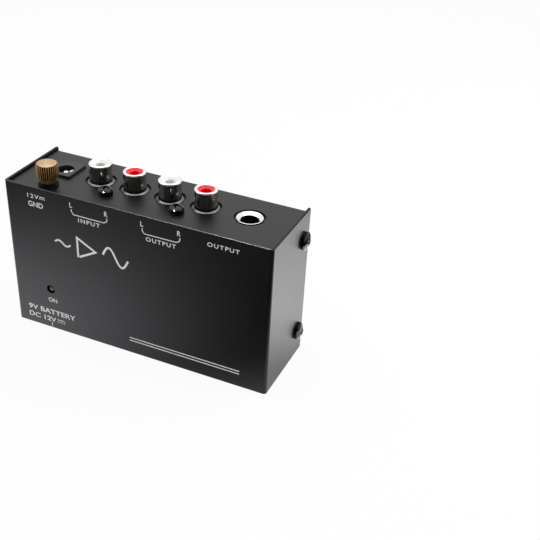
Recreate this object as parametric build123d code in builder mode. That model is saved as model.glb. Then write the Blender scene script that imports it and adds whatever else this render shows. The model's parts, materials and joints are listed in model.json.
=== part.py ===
from build123d import *
import os

os.makedirs("parts", exist_ok=True)

# A small steel-cased phono preamp, standing on its long narrow switch face with the jack panel up.
# X runs along the case, Y from the label face to the back, Z up from the surface it stands on.

# ---------------------------------------------------------------- driving dimensions, millimetres
# case
case_length = 104.0
case_depth = 32.5
case_height = 59.1
sheet = 1.0
cover_bend = 1.2  # outside radius of the cover's two bends
chassis_bend = 1.5  # outside radius of the chassis's bends
reveal = 1.0  # the cover's top and bottom edges past the chassis panels
back_reveal = 0.25  # the side plates past the back plate
plate_corner = 0.5
edge_round = 0.3
side_gap = 0.3  # chassis panel edges to the side plates
front_gap = 0.2  # chassis panel edges to the label plate
tab_depth = 10.0
tab_clear = 3.5  # side tabs to the panels above and below them
tab_relief = 1.0
foot_radius = 4.0
foot_height = 2.3
foot_round = 0.65
foot_draft = 8.0  # degrees
foot_inset_x = 9.0
foot_inset_z = 9.0

# screws
screw_radius = 1.5
cover_head_radius = 3.3
screw_head_radius = 2.6  # the jack blocks' and the board's screws
screw_head_height = 2.2
block_head_height = 2.7
screw_crown = 1.1  # the rounded part of a head's height
screw_length = 6.0
screw_hole_slack = 0.25
thread_slack = 0.05
recess_width = 0.8
recess_length = 3.0
recess_depth = 1.0
cover_screw_inset_y = 5.0  # from the side plate's back edge
cover_screw_inset_z = 10.5  # from the cover's top and bottom edges

# circuit board
board_thickness = 1.6
board_end_gap = 5.5  # board ends to the side plates
board_bottom_z = 3.2
board_top_gap = 1.2
standoff_height = 5.7
standoff_radius = 2.6
standoff_bore_depth = 3.4
board_screw_bite = 3.0
standoff_inset = 4.0  # from the board's ends
standoff_high_z = 25.5
standoff_low_z = 8.0
notch_slack = 1.0  # board to the battery box
pin_reach = 1.0  # pins past the back of the board
lead_slack = 0.25

# RCA jacks
rca_pitch = 14.0
input_centre_x = -15.95
output_centre_x = 12.05
rca_axis_height = 6.2  # above the board
rca_hole_radius = 5.65
rca_flange_radius = 4.85
rca_flange_height = 0.8
rca_shell_radius = 4.15
rca_shell_wall = 0.5
rca_height = 6.95  # above the panel
rca_lip = 0.55
rca_foot_round = 0.25
rca_mouth_radius = 3.05
rca_insert_recess = 0.2
rca_dish_radius = 2.6
rca_dish_depth = 0.8
rca_pin_hole_radius = 1.75
rca_contact_radius = 2.2
rca_contact_bore = 1.62
rca_block_length = 26.1
rca_block_depth = 8.6
rca_blind_floor = 1.7  # left under the shells' seats
rca_block_front = 5.0  # in front of the jack axis
rca_block_corner = 0.8
rca_boss_radius = 3.2
rca_screw_offset = 8.2  # screw axis in front of the jack axis
rca_contact_drop = 4.4  # top of the contact tubes below the shells' rims
rca_tail_width = 1.0
rca_tail_thickness = 0.8
fit_slack = 0.05

# 6.35 mm jack
jack_x = 35.6
jack_hole_radius = 5.6
ferrule_radius = 4.7
ferrule_bore = 3.25
ferrule_length = 9.0
ferrule_bevel = 0.9
ferrule_land = 0.3  # flat rim outside the bevel
jack_body_width = 16.5
jack_body_front = 6.3
jack_body_depth = 26.0
jack_bore_depth = 23.0
jack_bore_radius = 3.6
ferrule_step = 0.5
spring_strip = 0.4
spring_width = 2.4
spring_clear = 2.0  # springs' outer legs past the bore's wall
spring_tail = 1.5
spring_leg = 6.0
spring_crest = 8.0  # below the ferrule
spring_tip_rise = 3.5
spring_tip_turn = 1.0

# DC inlet
dc_x = -37.9
dc_body_width = 9.0
dc_body_height = 11.0
dc_body_depth = 14.4
dc_proud = 0.9
dc_bore_radius = 3.1
dc_bore_depth = 10.0
dc_rim_chamfer = 0.12
dc_pin_radius = 1.05
dc_pin_round = 0.5
dc_pin_recess = 0.9
dc_spring_crest = 3.2  # below the rim
dc_spring_tip_rise = 2.0
dc_spring_reach = 1.1  # crest past the bore's wall
dc_spring_strip = 0.3
dc_tail = 1.0
dc_panel_slack = 0.2

# ground terminal
ground_x = -37.3
ground_inset_y = 6.0  # behind the label face
knob_radius = 3.9
knob_height = 5.5
knob_chamfer = 0.35
knob_top_bevel = 0.5
knob_foot_bevel = 0.8
knurl_count = 30
knurl_depth = 0.42
collar_knurl_depth = 0.16
collar_radius = 3.4
collar_height = 2.2
washer_radius = 3.65
washer_height = 0.6
stud_radius = 1.95
stud_length = 7.0
nut_flats = 7.0
nut_height = 3.2
lug_thickness = 0.5
lug_radius = 3.6
lug_reach = 9.0
lug_tail_width = 2.4
wire_radius = 0.6
ground_wire_bend = 5.0
ground_wire_clear = 4.0  # above the board's notch

# power light
led_x = -36.1
led_z = 17.6
led_hole_radius = 1.75
led_radius = 1.45
led_dome = 1.3
led_flange_radius = 1.9
led_length = 5.2
led_flange_length = 1.0
led_spacer_wall = 0.3
led_recess = 0.3
led_lead_pitch = 2.54
led_lead_width = 0.5

# slide switch
switch_x = -37.5
switch_length = 12.7
switch_width = 6.6
switch_frame_height = 5.2
switch_frame_wall = 0.4
switch_base_height = 1.4
switch_travel = 3.0
switch_pin_width = 0.9
switch_pin_thickness = 0.5
switch_pin_rise = 2.0
slider_length = 3.5
slider_width = 3.0
slider_proud = 0.7  # past the foot panel, still clear of the surface the case stands on
slider_shoe_length = 7.0
slider_shoe_height = 1.6
slider_shoe_slack = 0.2
slider_ribs = 4
slider_rib_depth = 0.25
slider_groove = 0.3
slot_slack = 0.6

# 9 V battery, its box and door
battery_length = 46.4
battery_height = 26.5
battery_thickness = 17.5
battery_corner = 2.0
battery_rim = 0.5
terminal_height = 2.1
terminal_pitch = 12.7
stud_terminal_radius = 2.85
ring_terminal_radius = 3.9
terminal_slack = 0.1
battery_slack = 0.5
snap_plate = 1.5
box_wall = 1.5
box_centre_x = -1.0
box_centre_z = 20.0
flange_thickness = 1.8
flange_margin = 2.75  # flange past the cavity
flange_round = 0.6
scoop_depth = 0.9
hook_reach = 0.8
hook_height = 2.4
hook_length = 6.0
hook_pitch = 30.0
door_ledge = 0.75
door_gap = 0.25
door_tab = 0.95
door_tab_thickness = 0.8
door_tab_width = 4.0
door_tab_root = 0.5  # tabs' overlap with the door
door_tab_pitch = 16.0
latch_length = 9.0
latch_width = 10.0
latch_slit = 0.7
grip_ribs = 4
grip_pitch = 1.4
grip_depth = 0.45
lead_offset = 5.0  # leads in front of the battery's middle
lead_mid_z = 16.0
lead_run = 4.2  # past the box's end wall
lead_bend = 3.6

# small parts on the board
part_gap = 0.6
chip_length = 9.4
chip_width = 6.2
chip_height = 2.7
chip_lift = 0.6
chip_edge = 0.3
chip_pin_pitch = 2.54
chip_row_pitch = 7.62
chip_pin_width = 0.5
chip_pin_thickness = 0.3
chip_shoulder_width = 0.9
chip_shoulder_length = 1.1
chip_shoulder_height = 2.0
chip_edge_gap = 0.8
capacitor_radius = 2.0
capacitor_height = 7.0
capacitor_edge = 0.4
capacitor_pitch = 6.0
capacitor_group = 19.5  # middle of each row of three from the battery box's middle
film_length = 7.2
film_width = 2.5
film_height = 6.5
resistor_length = 6.4
resistor_radius = 1.1
resistor_lift = 0.2
regulator_width = 4.8
regulator_depth = 3.6
regulator_height = 5.0

# ---------------------------------------------------------------- places worked out from them
overall_depth = case_depth - back_reveal + foot_height
front_y = -overall_depth / 2
side_back_y = front_y + case_depth
back_y = side_back_y - back_reveal
case_half = case_length / 2
inner_half = case_half - sheet
panel_half = inner_half - side_gap
panel_z = case_height - reveal
panel_under_z = panel_z - sheet
panel_front_y = front_y + sheet + front_gap
mid_z = case_height / 2
tab_height = panel_z - reveal - 2 * tab_clear

board_back_y = back_y - sheet - standoff_height
board_face_y = board_back_y - board_thickness
board_top_z = panel_under_z - board_top_gap
jack_y = board_face_y - rca_axis_height
rca_screw_y = jack_y - rca_screw_offset
rca_centres = (input_centre_x, output_centre_x)
rca_floor_z = panel_under_z - rca_block_depth
rca_top_z = panel_z + rca_height
ground_y = front_y + ground_inset_y
cover_screw_y = side_back_y - cover_screw_inset_y
cover_screw_levels = (cover_screw_inset_z, case_height - cover_screw_inset_z)

cavity_length = battery_slack + battery_length + terminal_height + battery_slack + snap_plate + battery_slack
cavity_height = battery_height + 2 * battery_slack
cavity_left = box_centre_x - cavity_length / 2
cavity_right = cavity_left + cavity_length
cavity_depth = battery_thickness + 2 * battery_slack
box_front_y = back_y - cavity_depth - box_wall
box_half_length = cavity_length / 2 + box_wall
box_half_height = cavity_height / 2 + box_wall
flange_y = back_y + flange_thickness
battery_back_y = back_y - battery_slack
battery_mid_y = battery_back_y - battery_thickness / 2
battery_left = cavity_left + battery_slack
terminal_x = battery_left + battery_length
snap_plate_x = cavity_right - battery_slack - snap_plate
door_left = cavity_left - door_ledge
door_right = cavity_right + door_ledge
door_half_height = cavity_height / 2 + door_ledge
notch_left = box_centre_x - box_half_length - notch_slack
notch_right = box_centre_x + box_half_length + notch_slack
notch_top_z = box_centre_z + box_half_height + notch_slack
board_half_length = inner_half - board_end_gap
standoff_right_x = board_half_length - standoff_inset
standoff_places = ((-standoff_right_x, standoff_high_z), (standoff_right_x, standoff_low_z))
pin_end_y = board_back_y + pin_reach
lead_y = battery_mid_y - lead_offset
lead_spread = film_length / 2 + part_gap + wire_radius
lead_levels = (lead_mid_z - lead_spread, lead_mid_z + lead_spread)
pick = 0.01  # half the width of a band that picks corners at one place


def level(z):
    """A plane at height z, extruding upwards."""
    return Plane.XY.offset(z)


def facing_front(y):
    """A plane at depth y whose sketch axes are X and Z, extruding towards the label face."""
    return Plane.XZ.offset(-y)


def facing_right(x):
    """A plane at x whose sketch axes are Y and Z, extruding towards +X."""
    return Plane.YZ.offset(x)


def rca_places():
    """The four RCA axes, left to right."""
    return [(centre + side * rca_pitch / 2, jack_y) for centre in rca_centres for side in (-1, 1)]


def save(piece, name):
    """Labels a finished piece and writes it under the same name."""
    piece.part.label = name
    export_step(piece.part, f"parts/{name}.step")


# ---------------------------------------------------------------- bent sheet case
with BuildPart() as front_cover:
    with BuildSketch() as cover_bends:
        with Locations((0, front_y + case_depth / 2)):
            Rectangle(case_length, case_depth)
        fillet(cover_bends.vertices().group_by(Axis.Y)[0], cover_bend)
        with Locations((0, front_y + sheet + case_depth / 2)):
            Rectangle(2 * inner_half, case_depth, mode=Mode.SUBTRACT)
        inner_corners = cover_bends.vertices().filter_by_position(
            Axis.Y, front_y + sheet - pick, front_y + sheet + pick
        )
        fillet(inner_corners.filter_by_position(Axis.X, -inner_half, inner_half), cover_bend - sheet)
    extrude(amount=case_height)
    fillet(front_cover.edges().filter_by(Axis.X).group_by(Axis.Y)[-1], plate_corner)
    with BuildSketch(facing_front(front_y)):
        with Locations((led_x, led_z)):
            Circle(led_hole_radius)
    extrude(amount=-2 * sheet, mode=Mode.SUBTRACT)
    with BuildSketch(facing_right(0)):
        with Locations(*[(cover_screw_y, z) for z in cover_screw_levels]):
            Circle(screw_radius + screw_hole_slack)
    extrude(amount=case_length, both=True, mode=Mode.SUBTRACT)
    fillet(front_cover.faces().filter_by(Axis.Z).sort_by(Axis.Z)[-1].edges(), edge_round)
save(front_cover, "front_cover")

with BuildPart() as rear_chassis:
    channel_mid = ((panel_front_y + back_y) / 2, mid_z)
    with BuildSketch(facing_right(0)) as channel:
        with Locations(channel_mid):
            Rectangle(back_y - panel_front_y, panel_z - reveal)
        fillet(channel.vertices().group_by(Axis.X)[-1], chassis_bend)
        with Locations((channel_mid[0] - sheet, channel_mid[1])):
            Rectangle(back_y - panel_front_y, panel_z - reveal - 2 * sheet, mode=Mode.SUBTRACT)
        hollow_corners = channel.vertices().filter_by_position(
            Axis.X, back_y - sheet - pick, back_y - sheet + pick
        )
        fillet(hollow_corners, chassis_bend - sheet)
    extrude(amount=panel_half, both=True)
    front_corners = rear_chassis.edges().filter_by(Axis.Z).group_by(Axis.Y)[0]
    fillet(front_corners, cover_bend - sheet)
    # side tabs that the cover screws bite into
    for side in (-1, 1):
        with BuildSketch(facing_right(side * inner_half)):
            with Locations((back_y - tab_depth / 2, mid_z)):
                Rectangle(tab_depth, tab_height)
        extrude(amount=-side * sheet)
    # relief notches in the back plate, above and below each tab
    with BuildSketch(facing_front(back_y)):
        with Locations((0, mid_z)):
            with GridLocations(2 * inner_half, tab_height + tab_relief, 2, 2):
                Rectangle(2 * (chassis_bend + side_gap), tab_relief)
    extrude(amount=2 * sheet, mode=Mode.SUBTRACT)
    tab_bends = rear_chassis.edges().filter_by(Axis.Z).group_by(Axis.Y)[-1]
    fillet([tab_bends.sort_by(Axis.X)[0], tab_bends.sort_by(Axis.X)[-1]], chassis_bend)
    with BuildSketch(facing_right(0)):
        with Locations(*[(cover_screw_y, z) for z in cover_screw_levels]):
            Circle(screw_radius + thread_slack)
    extrude(amount=case_length, both=True, mode=Mode.SUBTRACT)
    # jack panel
    with BuildSketch(level(panel_z)):
        with Locations(*rca_places()):
            Circle(rca_hole_radius)
        with Locations(*[(centre, rca_screw_y) for centre in rca_centres]):
            Circle(screw_radius + screw_hole_slack)
        with Locations((jack_x, jack_y)):
            Circle(jack_hole_radius)
        with Locations((ground_x, ground_y)):
            Circle(stud_radius + screw_hole_slack)
        with Locations((dc_x, board_face_y - dc_body_height / 2)):
            Rectangle(dc_body_width + 2 * dc_panel_slack, dc_body_height + 2 * dc_panel_slack)
    extrude(amount=-2 * sheet, mode=Mode.SUBTRACT)
    # foot panel, with the slot that the slider reaches through
    with BuildSketch(level(reveal)):
        with Locations((switch_x, board_face_y - switch_width / 2)):
            SlotOverall(slider_length + switch_travel + 4 * slot_slack, slider_width + 2 * slot_slack)
    extrude(amount=2 * sheet, mode=Mode.SUBTRACT)
    # back plate, cut for the battery box and for the standoffs' ends
    with BuildSketch(facing_front(back_y)):
        with Locations((box_centre_x, box_centre_z)):
            Rectangle(2 * (box_half_length + door_gap), 2 * (box_half_height + door_gap))
        with Locations(*standoff_places):
            Circle(screw_radius + thread_slack)
    extrude(amount=2 * sheet, mode=Mode.SUBTRACT)
save(rear_chassis, "rear_chassis")


def pan_head_screw(head_radius, head_height, shank_length):
    """A cross-recessed pan-head screw with its seat at the origin and its head upwards."""
    rim_height = head_height - screw_crown
    with BuildPart() as screw:
        with BuildSketch(Plane.XZ):
            with BuildLine():
                Polyline(
                    (0, head_height),
                    (0, -shank_length),
                    (screw_radius, -shank_length),
                    (screw_radius, 0),
                    (head_radius, 0),
                    (head_radius, rim_height),
                )
                TangentArc((0, head_height), (head_radius, rim_height), tangent=(1, 0))
            make_face()
        revolve(axis=Axis.Z)
        with BuildSketch(level(head_height)):
            Rectangle(recess_length, recess_width)
            Rectangle(recess_width, recess_length)
        extrude(amount=-recess_depth, mode=Mode.SUBTRACT)
    return screw.part


cover_screw = pan_head_screw(cover_head_radius, screw_head_height, screw_length)
with BuildPart() as cover_screws:
    for side in (-1, 1):
        for z in cover_screw_levels:
            with Locations(Plane(origin=(side * case_half, cover_screw_y, z), z_dir=(side, 0, 0))):
                add(cover_screw)
save(cover_screws, "cover_screws")

with BuildPart() as rubber_feet:
    with BuildSketch(facing_front(back_y)):
        with Locations(
            *[
                (x, z)
                for x in (-case_half + foot_inset_x, case_half - foot_inset_x)
                for z in (foot_inset_z, case_height - foot_inset_z)
            ]
        ):
            Circle(foot_radius)
    extrude(amount=-foot_height, taper=foot_draft)
    fillet(rubber_feet.edges().filter_by(GeomType.CIRCLE).group_by(Axis.Y)[-1], foot_round)
save(rubber_feet, "rubber_feet")

# ---------------------------------------------------------------- RCA jacks
for name, centre in (("input", input_centre_x), ("output", output_centre_x)):
    pair = [(centre - rca_pitch / 2, jack_y), (centre + rca_pitch / 2, jack_y)]
    with BuildPart() as block:
        with BuildSketch(level(rca_floor_z)) as block_outline:
            with Locations((centre, (board_face_y + jack_y - rca_block_front) / 2)):
                Rectangle(rca_block_length, board_face_y - jack_y + rca_block_front)
            fillet(block_outline.vertices().group_by(Axis.Y)[0], rca_block_corner)
            with Locations((centre, rca_screw_y)):
                Circle(rca_boss_radius)
            with Locations((centre, (rca_screw_y + jack_y) / 2)):
                Rectangle(2 * rca_boss_radius, jack_y - rca_screw_y)
        extrude(amount=rca_block_depth)
        with BuildSketch(level(panel_under_z)):
            with Locations((centre, rca_screw_y)):
                Circle(screw_radius + thread_slack)
        extrude(amount=-screw_length - screw_radius, mode=Mode.SUBTRACT)
        with BuildSketch(level(panel_under_z)):
            with Locations(*pair):
                Circle(rca_shell_radius + fit_slack)
        extrude(amount=rca_blind_floor - rca_block_depth, mode=Mode.SUBTRACT)
        with BuildSketch(level(rca_floor_z)):
            with Locations(*pair):
                Circle(rca_contact_radius + fit_slack)
        extrude(amount=rca_block_depth, mode=Mode.SUBTRACT)
    save(block, f"{name}_jack_block")

shell_foot_z = rca_floor_z + rca_blind_floor
flange_top_z = panel_under_z + rca_flange_height
insert_top_z = rca_top_z - rca_insert_recess
shell_bore = rca_shell_radius - rca_shell_wall
contact_top_z = rca_top_z - rca_contact_drop
for name, (x, y) in zip(("input_left", "input_right", "output_left", "output_right"), rca_places()):
    axis = Axis((x, y, 0), (0, 0, 1))
    radial = Plane(origin=(x, y, 0), x_dir=(1, 0, 0), z_dir=(0, -1, 0))
    with BuildPart() as shell:
        with BuildSketch(radial):
            with BuildLine():
                Polyline(
                    (shell_bore, shell_foot_z),
                    (rca_shell_radius, shell_foot_z),
                    (rca_shell_radius, panel_under_z),
                    (rca_flange_radius, panel_under_z),
                    (rca_flange_radius, flange_top_z - rca_foot_round),
                )
                TangentArc(
                    (rca_flange_radius, flange_top_z - rca_foot_round),
                    (rca_flange_radius - rca_foot_round, flange_top_z),
                    tangent=(0, 1),
                )
                Line(
                    (rca_flange_radius - rca_foot_round, flange_top_z),
                    (rca_shell_radius + rca_foot_round, flange_top_z),
                )
                TangentArc(
                    (rca_shell_radius + rca_foot_round, flange_top_z),
                    (rca_shell_radius, flange_top_z + rca_foot_round),
                    tangent=(-1, 0),
                )
                Line(
                    (rca_shell_radius, flange_top_z + rca_foot_round),
                    (rca_shell_radius, rca_top_z - rca_lip),
                )
                TangentArc(
                    (rca_shell_radius, rca_top_z - rca_lip),
                    (rca_shell_radius - rca_lip, rca_top_z),
                    tangent=(0, 1),
                )
                Polyline(
                    (rca_shell_radius - rca_lip, rca_top_z),
                    (rca_mouth_radius, rca_top_z - rca_insert_recess),
                    (rca_mouth_radius, rca_top_z - rca_lip),
                    (shell_bore, rca_top_z - rca_lip),
                    (shell_bore, shell_foot_z),
                )
            make_face()
        revolve(axis=axis)
    save(shell, f"{name}_shell")

    with BuildPart() as insert:
        with BuildSketch(radial):
            with BuildLine():
                Polyline(
                    (rca_contact_radius + fit_slack, shell_foot_z),
                    (shell_bore - fit_slack, shell_foot_z),
                    (shell_bore - fit_slack, rca_top_z - rca_lip - fit_slack),
                    (rca_mouth_radius - fit_slack, rca_top_z - rca_lip - fit_slack),
                    (rca_mouth_radius - fit_slack, insert_top_z),
                    (rca_dish_radius, insert_top_z),
                    (rca_pin_hole_radius, insert_top_z - rca_dish_depth),
                    (rca_pin_hole_radius, contact_top_z + fit_slack),
                    (rca_contact_radius + fit_slack, contact_top_z + fit_slack),
                    close=True,
                )
            make_face()
        revolve(axis=axis)
    save(insert, f"{name}_insert")

tail_z = rca_floor_z - rca_tail_thickness
with BuildPart() as rca_contacts:
    for x, y in rca_places():
        with BuildSketch(level(rca_floor_z)):
            with Locations((x, y)):
                Circle(rca_contact_radius)
        extrude(amount=contact_top_z - rca_floor_z)
        with BuildSketch(level(rca_floor_z)):
            with Locations((x, y)):
                Circle(rca_contact_bore)
        extrude(amount=contact_top_z - rca_floor_z, mode=Mode.SUBTRACT)
    with BuildSketch(level(tail_z)):
        for x, y in rca_places():
            with Locations((x, y)):
                Circle(rca_contact_radius)
            with Locations((x, (y + pin_end_y) / 2)):
                Rectangle(rca_tail_width, pin_end_y - y)
    extrude(amount=rca_tail_thickness)
save(rca_contacts, "rca_contacts")

block_screw = pan_head_screw(screw_head_radius, block_head_height, screw_length + sheet)
with BuildPart() as rca_block_screws:
    with Locations(*[(centre, rca_screw_y, panel_z) for centre in rca_centres]):
        add(block_screw)
save(rca_block_screws, "rca_block_screws")

# ---------------------------------------------------------------- 6.35 mm jack
jack_axis = Axis((jack_x, jack_y, 0), (0, 0, 1))
with BuildPart() as jack_ferrule:
    with BuildSketch(Plane(origin=(jack_x, jack_y, 0), x_dir=(1, 0, 0), z_dir=(0, -1, 0))):
        with BuildLine():
            Polyline(
                (ferrule_bore, panel_z - ferrule_length),
                (ferrule_radius - ferrule_step, panel_z - ferrule_length),
                (ferrule_radius - ferrule_step, panel_under_z - sheet),
                (ferrule_radius, panel_under_z - sheet),
                (ferrule_radius, panel_z - fit_slack),
                (ferrule_radius - fit_slack, panel_z),
                (ferrule_radius - ferrule_land, panel_z),
                (ferrule_bore, panel_z - ferrule_bevel),
                close=True,
            )
        make_face()
    revolve(axis=jack_axis)
save(jack_ferrule, "jack_ferrule")

spring_wall = jack_bore_radius + spring_clear
with BuildPart() as jack_body:
    jack_body_mid_y = (board_face_y + jack_y - jack_body_front) / 2
    with BuildSketch(level(panel_under_z)) as jack_outline:
        with Locations((jack_x, jack_body_mid_y)):
            Rectangle(jack_body_width, board_face_y - jack_y + jack_body_front)
        fillet(jack_outline.vertices().group_by(Axis.Y)[0], sheet)
    extrude(amount=-jack_body_depth)
    with BuildSketch(level(panel_under_z)):
        with Locations((jack_x, jack_y)):
            Circle(jack_bore_radius)
    extrude(amount=-jack_bore_depth, mode=Mode.SUBTRACT)
    with BuildSketch(level(panel_z - ferrule_length - fit_slack)):
        with Locations((jack_x, jack_y)):
            Circle(ferrule_radius - ferrule_step + fit_slack)
    extrude(amount=ferrule_length, mode=Mode.SUBTRACT)
    with BuildSketch(level(panel_under_z - sheet - fit_slack)):
        with Locations((jack_x, jack_y)):
            Circle(ferrule_radius + fit_slack)
    extrude(amount=2 * sheet, mode=Mode.SUBTRACT)
    # slots for the contact springs, one on each side of the bore
    with BuildSketch(level(panel_under_z - jack_body_depth)):
        with Locations((jack_x, jack_y)):
            Rectangle(2 * (spring_wall + part_gap), spring_width + 4 * fit_slack)
    extrude(amount=jack_body_depth - ferrule_length, mode=Mode.SUBTRACT)
save(jack_body, "jack_body")

with BuildPart() as jack_springs:
    spring_foot_z = panel_under_z - jack_body_depth - spring_tail
    spring_crest_z = panel_z - ferrule_length - spring_crest
    for side in (-1, 1):
        wall_x = jack_x + side * spring_wall
        crest_x = jack_x + side * (ferrule_bore - spring_strip)
        with BuildSketch(facing_front(jack_y)):
            with BuildLine():
                Polyline(
                    (wall_x, spring_foot_z),
                    (wall_x, spring_foot_z + spring_leg),
                    (crest_x, spring_crest_z),
                    (wall_x - side * spring_tip_turn, spring_crest_z + spring_tip_rise),
                )
                offset(amount=spring_strip / 2, side=Side.BOTH)
            make_face()
        extrude(amount=spring_width / 2, both=True)
save(jack_springs, "jack_springs")

# ---------------------------------------------------------------- DC inlet
dc_top_z = panel_z + dc_proud
dc_floor_z = dc_top_z - dc_body_depth
with BuildPart() as dc_inlet_body:
    with BuildSketch(level(dc_floor_z)):
        with Locations((dc_x, board_face_y - dc_body_height / 2)):
            Rectangle(dc_body_width, dc_body_height)
    extrude(amount=dc_body_depth)
    chamfer(dc_inlet_body.faces().sort_by(Axis.Z)[-1].edges(), dc_rim_chamfer)
    with BuildSketch(level(dc_top_z)):
        with Locations((dc_x, jack_y)):
            Circle(dc_bore_radius)
    extrude(amount=-dc_bore_depth, mode=Mode.SUBTRACT)
    with BuildSketch(level(dc_floor_z)):
        with Locations((dc_x, jack_y)):
            Circle(dc_pin_radius + fit_slack)
    extrude(amount=dc_body_depth, mode=Mode.SUBTRACT)
    # slot in the bore's wall where the sleeve spring lies
    with BuildSketch(level(dc_floor_z)):
        with Locations((dc_x + dc_bore_radius, jack_y)):
            Rectangle(4 * dc_spring_strip, spring_width + 4 * fit_slack)
    extrude(amount=dc_body_depth - dc_proud, mode=Mode.SUBTRACT)
save(dc_inlet_body, "dc_inlet_body")

with BuildPart() as dc_inlet_pin:
    with BuildSketch(level(dc_floor_z - dc_tail)):
        with Locations((dc_x, jack_y)):
            Circle(dc_pin_radius)
    extrude(amount=dc_body_depth + dc_tail - dc_pin_recess)
    fillet(dc_inlet_pin.faces().sort_by(Axis.Z)[-1].edges(), dc_pin_round)
save(dc_inlet_pin, "dc_inlet_pin")

with BuildPart() as dc_inlet_spring:
    dc_leaf_x = dc_x + dc_bore_radius + dc_spring_strip / 2
    dc_crest_z = dc_top_z - dc_spring_crest
    with BuildSketch(facing_front(jack_y)):
        with BuildLine():
            Polyline(
                (dc_leaf_x, dc_floor_z - dc_tail),
                (dc_leaf_x, dc_top_z - dc_bore_depth),
                (dc_leaf_x - dc_spring_reach, dc_crest_z),
                (dc_leaf_x, dc_crest_z + dc_spring_tip_rise),
            )
            offset(amount=dc_spring_strip / 2, side=Side.BOTH)
        make_face()
    extrude(amount=spring_width / 2, both=True)
save(dc_inlet_spring, "dc_inlet_spring")

# ---------------------------------------------------------------- ground terminal
ground_axis = Axis((ground_x, ground_y, 0), (0, 0, 1))
washer_top_z = panel_z + washer_height
collar_top_z = washer_top_z + collar_height
knob_top_z = collar_top_z + knob_height
with BuildPart() as ground_thumbscrew:
    with BuildSketch(level(collar_top_z)):
        with Locations((ground_x, ground_y)):
            Circle(knob_radius)
            with PolarLocations(knob_radius, knurl_count):
                RegularPolygon(knurl_depth, 4, mode=Mode.SUBTRACT)
    extrude(amount=knob_height)
    # both ends of the knurl are turned down to a chamfer
    with BuildSketch(Plane(origin=(ground_x, ground_y, 0), x_dir=(1, 0, 0), z_dir=(0, -1, 0))):
        with BuildLine():
            Polyline(
                (knob_radius - knob_chamfer / 2, knob_top_z),
                (knob_radius + knob_chamfer, knob_top_z),
                (knob_radius + knob_chamfer, knob_top_z - knob_top_bevel),
                close=True,
            )
        make_face()
        with BuildLine():
            Polyline(
                (collar_radius, collar_top_z),
                (knob_radius + knob_chamfer, collar_top_z),
                (knob_radius + knob_chamfer, collar_top_z + knob_foot_bevel),
                close=True,
            )
        make_face()
    revolve(axis=ground_axis, mode=Mode.SUBTRACT)
    with BuildSketch(level(washer_top_z)):
        with Locations((ground_x, ground_y)):
            Circle(collar_radius)
            with PolarLocations(collar_radius, knurl_count):
                RegularPolygon(collar_knurl_depth, 4, mode=Mode.SUBTRACT)
    extrude(amount=collar_height)
    with BuildSketch(level(washer_top_z)):
        with Locations((ground_x, ground_y)):
            Circle(stud_radius)
    extrude(amount=-stud_length)
    chamfer(ground_thumbscrew.edges().filter_by(GeomType.CIRCLE).group_by(Axis.Z)[0], knob_chamfer)
save(ground_thumbscrew, "ground_thumbscrew")

with BuildPart() as ground_washer:
    with BuildSketch(level(panel_z)):
        with Locations((ground_x, ground_y)):
            Circle(washer_radius)
            Circle(stud_radius + fit_slack, mode=Mode.SUBTRACT)
    extrude(amount=washer_height)
save(ground_washer, "ground_washer")

nut_top_z = panel_under_z - lug_thickness
with BuildPart() as ground_nut:
    with BuildSketch(level(nut_top_z)):
        with Locations((ground_x, ground_y)):
            RegularPolygon(nut_flats / 2, 6, major_radius=False)
            Circle(stud_radius + fit_slack, mode=Mode.SUBTRACT)
    extrude(amount=-nut_height)
save(ground_nut, "ground_nut")

lug_end_x = ground_x + lug_reach
with BuildPart() as ground_lug:
    with BuildSketch(level(nut_top_z)):
        with Locations((ground_x, ground_y)):
            Circle(lug_radius)
        with Locations((ground_x + lug_reach / 2, ground_y)):
            Rectangle(lug_reach, lug_tail_width)
        with Locations((ground_x, ground_y)):
            Circle(stud_radius + screw_hole_slack, mode=Mode.SUBTRACT)
    extrude(amount=lug_thickness)
save(ground_lug, "ground_lug")

with BuildPart() as ground_wire:
    ground_wire_x = lug_end_x - wire_radius
    ground_wire_z = notch_top_z + ground_wire_clear
    with BuildLine():
        FilletPolyline(
            (ground_wire_x, ground_y, nut_top_z),
            (ground_wire_x, ground_y, ground_wire_z),
            (ground_wire_x, board_face_y, ground_wire_z),
            radius=ground_wire_bend,
        )
    with BuildSketch(level(nut_top_z)):
        with Locations((ground_wire_x, ground_y)):
            Circle(wire_radius)
    sweep()
save(ground_wire, "ground_wire")

# ---------------------------------------------------------------- power light
led_tip_y = front_y + led_recess
led_foot_y = led_tip_y + led_length
with BuildPart() as power_led:
    with BuildSketch(facing_front(led_foot_y)):
        with Locations((led_x, led_z)):
            Circle(led_flange_radius)
    extrude(amount=led_flange_length)
    with BuildSketch(facing_front(led_foot_y)):
        with Locations((led_x, led_z)):
            Circle(led_radius)
    extrude(amount=led_length)
    fillet(power_led.faces().sort_by(Axis.Y)[0].edges(), led_dome)
save(power_led, "power_led")

lead_places = [(led_x - led_lead_pitch / 2, led_z), (led_x + led_lead_pitch / 2, led_z)]
with BuildPart() as led_spacer:
    with BuildSketch(facing_front(board_face_y)):
        with Locations((led_x, led_z)):
            Circle(led_flange_radius + led_spacer_wall)
        with Locations(*lead_places):
            Circle(led_lead_width / 2 + lead_slack, mode=Mode.SUBTRACT)
    extrude(amount=board_face_y - led_foot_y)
save(led_spacer, "led_spacer")

with BuildPart() as led_leads:
    with BuildSketch(facing_front(pin_end_y)):
        with Locations(*lead_places):
            Rectangle(led_lead_width, led_lead_width)
    extrude(amount=pin_end_y - led_foot_y)
save(led_leads, "led_leads")

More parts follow.
